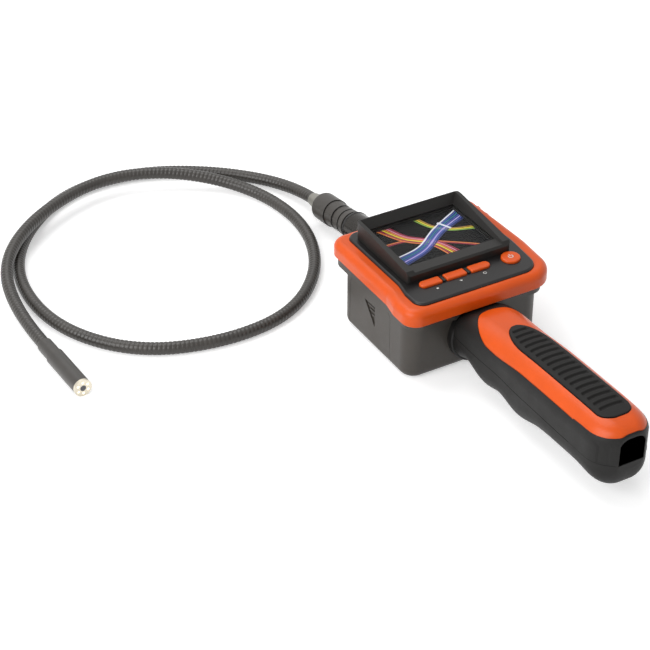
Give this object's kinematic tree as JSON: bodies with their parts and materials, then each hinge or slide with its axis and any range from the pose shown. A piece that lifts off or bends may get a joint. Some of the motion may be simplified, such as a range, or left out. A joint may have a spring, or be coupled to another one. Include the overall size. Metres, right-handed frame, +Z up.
{
  "type": "inspection camera",
  "caption": "Handheld video inspection camera: screen head with keys and sun hood, gripped handle, and a long gooseneck ending in a lit camera.",
  "frame": {"origin": "centre of the head's flat base, on the surface that it rests on", "axes": "+Z up out of the screen, +Y towards the gooseneck, -Y along the handle, +X to the right as the screen is read"},
  "size_m": [0.2352, 0.3802, 0.0564],
  "materials": {
    "shell_plastic": "fine matte texture, dark warm grey",
    "orange_plastic": "satin orange",
    "black_plastic": "satin black",
    "hood_plastic": "satin charcoal",
    "orange_rubber": "soft orange rubber",
    "black_rubber": "matte black rubber",
    "clear_window": "clear, polished",
    "display": "display panel, glossy, emissive",
    "foam": "closed-cell foam",
    "circuit_board": "green solder mask",
    "switch_metal": "plated",
    "screw_steel": "zinc plated",
    "cell_wrap": "printed sleeve, plain",
    "contact_metal": "nickel plated",
    "socket_metal": "blackened",
    "pin_brass": "gold plated",
    "nut_metal": "black polished",
    "plug_plastic": "satin dark grey",
    "ferrule_metal": "satin grey",
    "gooseneck_metal": "black coated spiral tube",
    "camera_metal": "satin black barrel",
    "bezel_metal": "machined",
    "led": "white light emitting diode"
  },
  "bodies": {
    "case": {"rear_shell": "shell_plastic", "bezel_frame": "orange_plastic", "front_panel": "black_plastic", "sun_hood": "hood_plastic", "screen_window": "clear_window", "screen_gasket": "foam", "lcd_module": "display", "main_board": "circuit_board", "board_screws": "screw_steel", "key_switches": "switch_metal", "keypad_mat": "black_rubber", "shell_screws": "screw_steel", "battery_tray": "black_plastic", "battery_1": "cell_wrap", "battery_2": "cell_wrap", "battery_3": "cell_wrap", "battery_4": "cell_wrap", "contact_plates": "contact_metal", "contact_leaves": "contact_metal", "av_jack": "black_plastic", "handle_collar": "black_plastic", "collar_nut": "black_plastic", "handle_upper_shell": "black_plastic", "handle_lower_shell": "black_plastic", "handle_screws": "screw_steel", "handle_trim": "orange_plastic", "grip_pad": "black_rubber", "video_socket": "socket_metal", "socket_nut": "socket_metal", "socket_pins": "pin_brass", "plug_body": "plug_plastic", "plug_seal": "black_rubber", "strain_boot": "plug_plastic", "cord_ferrule": "ferrule_metal", "gooseneck": "gooseneck_metal", "camera_sleeve": "camera_metal", "camera_housing": "camera_metal", "lens_bezel": "bezel_metal", "lens_window": "clear_window", "camera_leds": "led", "lens_barrel": "black_plastic", "sensor_board": "circuit_board"},
    "battery_door": {"battery_door": "shell_plastic", "door_contacts": "contact_metal"},
    "key_left": {"key_left": "orange_plastic"},
    "key_middle": {"key_middle": "orange_plastic"},
    "key_right": {"key_right": "orange_plastic"},
    "power_button": {"power_button": "orange_plastic"},
    "port_cover": {"port_cover": "orange_rubber"},
    "coupling_nut": {"coupling_nut": "nut_metal"}
  },
  "joints": [
    {"name": "battery_door_slide", "type": "slide", "parent": "case", "child": "battery_door", "axis": [0, 0, -1], "range_m": [0, 0.033]},
    {"name": "key_left_press", "type": "slide", "parent": "case", "child": "key_left", "axis": [0, 0, -1], "range_m": [0, 0.0006], "stiffness_N_per_m": 800},
    {"name": "key_middle_press", "type": "slide", "parent": "case", "child": "key_middle", "axis": [0, 0, -1], "range_m": [0, 0.0006], "stiffness_N_per_m": 800},
    {"name": "key_right_press", "type": "slide", "parent": "case", "child": "key_right", "axis": [0, 0, -1], "range_m": [0, 0.0006], "stiffness_N_per_m": 800},
    {"name": "power_button_press", "type": "slide", "parent": "case", "child": "power_button", "axis": [0, 0, -1], "range_m": [0, 0.0006], "stiffness_N_per_m": 800},
    {"name": "port_cover_hinge", "type": "hinge", "parent": "case", "child": "port_cover", "pos_m": [0.0435, 0.03, 0.0374], "axis": [0, 1, 0], "range_deg": [0, 100]},
    {"name": "coupling_nut_turn", "type": "hinge", "parent": "case", "child": "coupling_nut", "pos_m": [0, 0.07231, 0.01709], "axis": [0, 0.989, -0.1478], "continuous": true}
  ]
}
